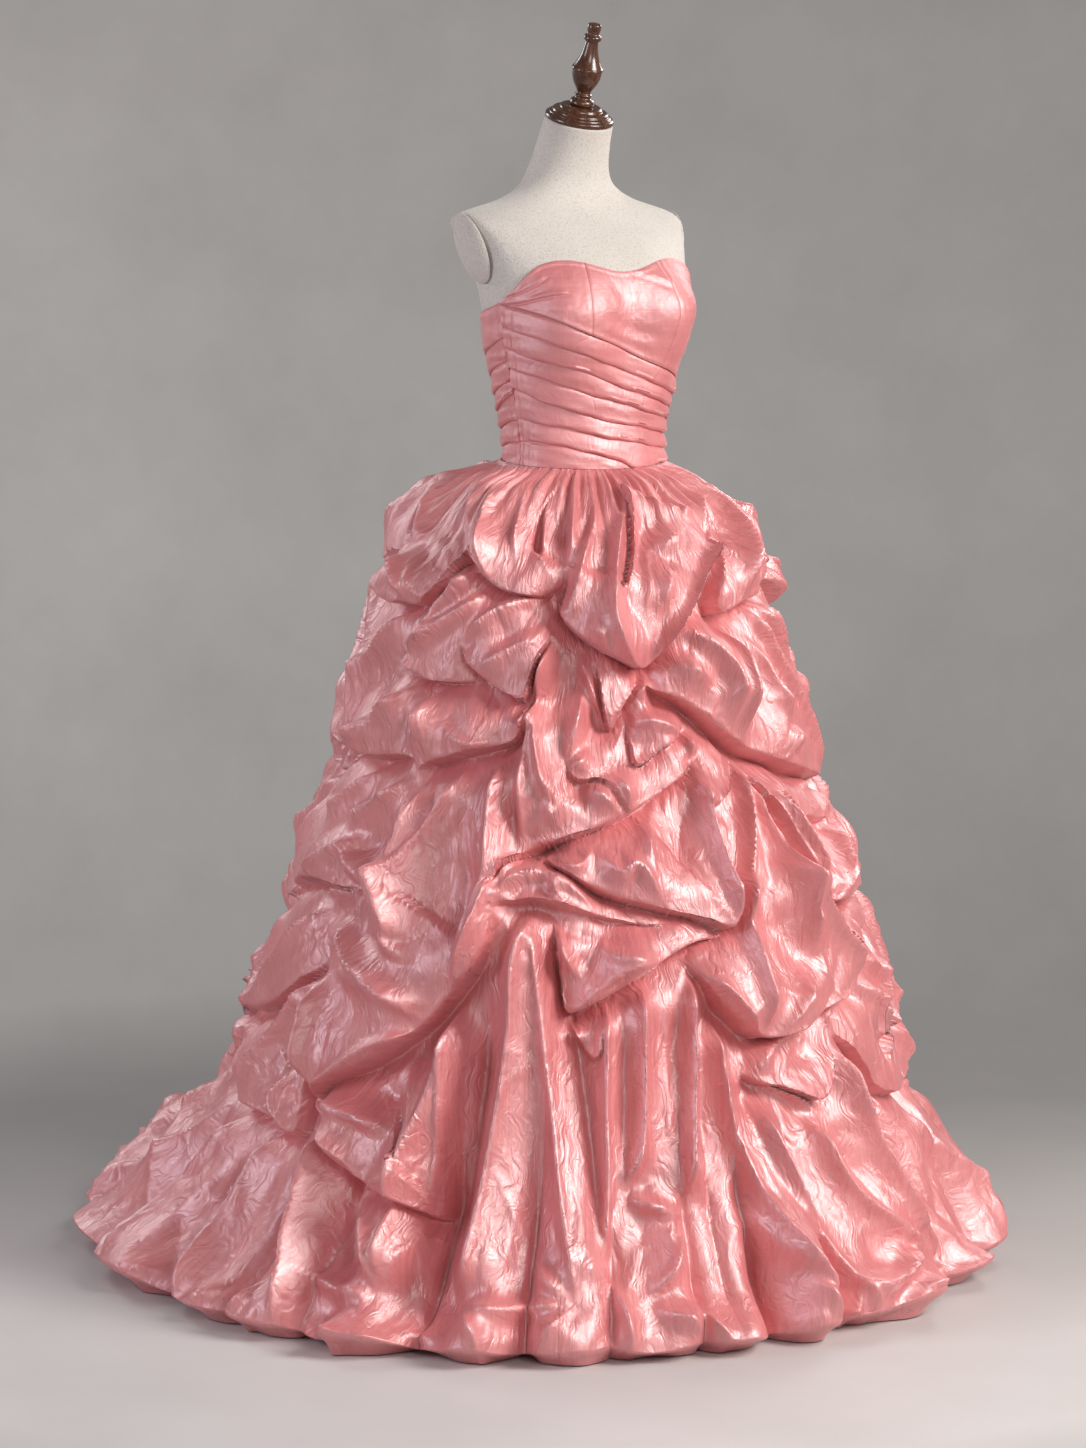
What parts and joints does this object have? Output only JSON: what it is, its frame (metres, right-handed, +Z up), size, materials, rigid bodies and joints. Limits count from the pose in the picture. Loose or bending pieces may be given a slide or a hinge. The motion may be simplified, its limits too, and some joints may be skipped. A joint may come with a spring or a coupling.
{
  "type": "ball gown on dress form",
  "caption": "Strapless ball gown in crisp taffeta with a tucked bodice and a full picked-up skirt with a short train, standing on a limbless dress form.",
  "frame": {"origin": "middle of the footprint's box, on the floor; the gown's waist axis stands 152 mm in front of it", "axes": "+Z up, the gown faces -Y, +X is the wearer's left"},
  "size_m": [1.2486, 1.4306, 1.7223],
  "materials": {
    "taffeta": "crisp coral-pink taffeta with a soft gloss and a fine crosswise rib",
    "canvas": "tight cream canvas cover, matt",
    "dark_wood": "dark turned wood, satin varnish",
    "steel": "plain steel tube"
  },
  "bodies": {
    "root": {"bust_centre": "taffeta", "bust_side_right": "taffeta", "bust_side_left": "taffeta", "midriff_front": "taffeta", "back_left": "taffeta", "back_right": "taffeta", "back_zip": "taffeta", "skirt_front": "taffeta", "skirt_side_left": "taffeta", "skirt_back_left": "taffeta", "skirt_back_right": "taffeta", "skirt_side_right": "taffeta", "form_torso": "canvas", "arm_plate_right": "canvas", "arm_plate_left": "canvas", "neck_cap": "dark_wood", "finial": "dark_wood", "stand_base": "dark_wood", "stand_collar": "dark_wood", "stand_pole": "steel"}
  },
  "joints": []
}
